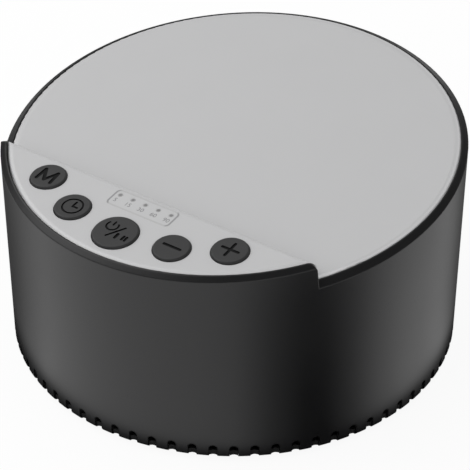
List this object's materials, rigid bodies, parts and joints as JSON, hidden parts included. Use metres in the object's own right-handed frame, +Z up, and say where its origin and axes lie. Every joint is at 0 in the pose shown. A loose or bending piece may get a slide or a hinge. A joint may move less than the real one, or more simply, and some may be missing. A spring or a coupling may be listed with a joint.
{
  "type": "white noise machine",
  "caption": "Compact round white noise machine: black shell, slanted light grey top, raised control deck with push buttons, sound notches round the lower edge.",
  "frame": {"origin": "On the table under the axis of the round body, at the middle of the box below the feet", "axes": "+Z up, the control deck faces -Y, +X to the right seen from the front"},
  "size_m": [0.1, 0.1, 0.0533],
  "materials": {
    "shell": "black moulding, satin",
    "base": "black moulding",
    "panel": "light grey, fine matt",
    "key": "dark grey, matt",
    "foot_rubber": "soft, matt",
    "plunger": "dark moulding",
    "switch_metal": "pressed sheet",
    "circuit_board": "green solder mask",
    "clear_plastic": "clear moulding",
    "lamp": "pale body",
    "ribbon": "flat flexible cable",
    "socket_plastic": "ivory moulding",
    "chip": "black body",
    "can": "drawn can",
    "socket_shell": "folded sheet",
    "tongue": "black moulding",
    "wire": "insulated wire",
    "terminal": "tinned tabs on a strip",
    "basket": "pressed sheet",
    "pole_steel": "zinc plated",
    "ferrite": "dark grey ferrite",
    "spider_cloth": "stiffened cloth",
    "copper": "enamelled wire on a former",
    "cone_paper": "black pulp",
    "surround_rubber": "thin rubber",
    "foam": "foam ring",
    "screw": "zinc plated"
  },
  "bodies": {
    "housing": {"outer_shell": "shell", "top_panel": "panel", "base_plate": "base", "baffle_plate": "base", "rubber_feet": "foot_rubber", "switch_housings": "switch_metal", "key_board": "circuit_board", "light_pipe": "clear_plastic", "indicator_leds": "lamp", "ribbon_cable": "ribbon", "ribbon_sockets": "socket_plastic", "main_board": "circuit_board", "board_chips": "chip", "capacitors": "can", "power_socket": "socket_shell", "socket_tongue": "tongue", "speaker_lead": "wire", "lead_socket": "socket_plastic", "speaker_terminals": "terminal", "speaker_basket": "basket", "speaker_front_plate": "pole_steel", "speaker_magnet": "ferrite", "speaker_back_plate": "pole_steel", "speaker_spider": "spider_cloth", "speaker_surround": "surround_rubber", "speaker_gasket": "foam", "base_screws": "screw", "panel_screws": "screw", "key_board_screws": "screw", "main_board_screws": "screw", "speaker_screws": "screw"},
    "key_mode": {"button_mode": "key", "plunger_mode": "plunger"},
    "key_timer": {"button_timer": "key", "plunger_timer": "plunger"},
    "key_power": {"button_power": "key", "plunger_power": "plunger"},
    "key_minus": {"button_minus": "key", "plunger_minus": "plunger"},
    "key_plus": {"button_plus": "key", "plunger_plus": "plunger"},
    "cone": {"speaker_cone": "cone_paper", "dust_cap": "cone_paper", "voice_coil": "copper"}
  },
  "joints": [
    {"name": "press_mode", "type": "slide", "parent": "housing", "child": "key_mode", "axis": [0, 0.1219, -0.9925], "range_m": [0, 0.0005], "stiffness_N_per_m": 2000},
    {"name": "press_timer", "type": "slide", "parent": "housing", "child": "key_timer", "axis": [0, 0.1219, -0.9925], "range_m": [0, 0.0005], "stiffness_N_per_m": 2000},
    {"name": "press_power", "type": "slide", "parent": "housing", "child": "key_power", "axis": [0, 0.1219, -0.9925], "range_m": [0, 0.0005], "stiffness_N_per_m": 2000},
    {"name": "press_minus", "type": "slide", "parent": "housing", "child": "key_minus", "axis": [0, 0.1219, -0.9925], "range_m": [0, 0.0005], "stiffness_N_per_m": 2000},
    {"name": "press_plus", "type": "slide", "parent": "housing", "child": "key_plus", "axis": [0, 0.1219, -0.9925], "range_m": [0, 0.0005], "stiffness_N_per_m": 2000},
    {"name": "cone_stroke", "type": "slide", "parent": "housing", "child": "cone", "axis": [0, 0, 1], "range_m": [-0.0008, 0.0008], "stiffness_N_per_m": 1500, "deforming": ["speaker_surround", "speaker_spider"]}
  ]
}
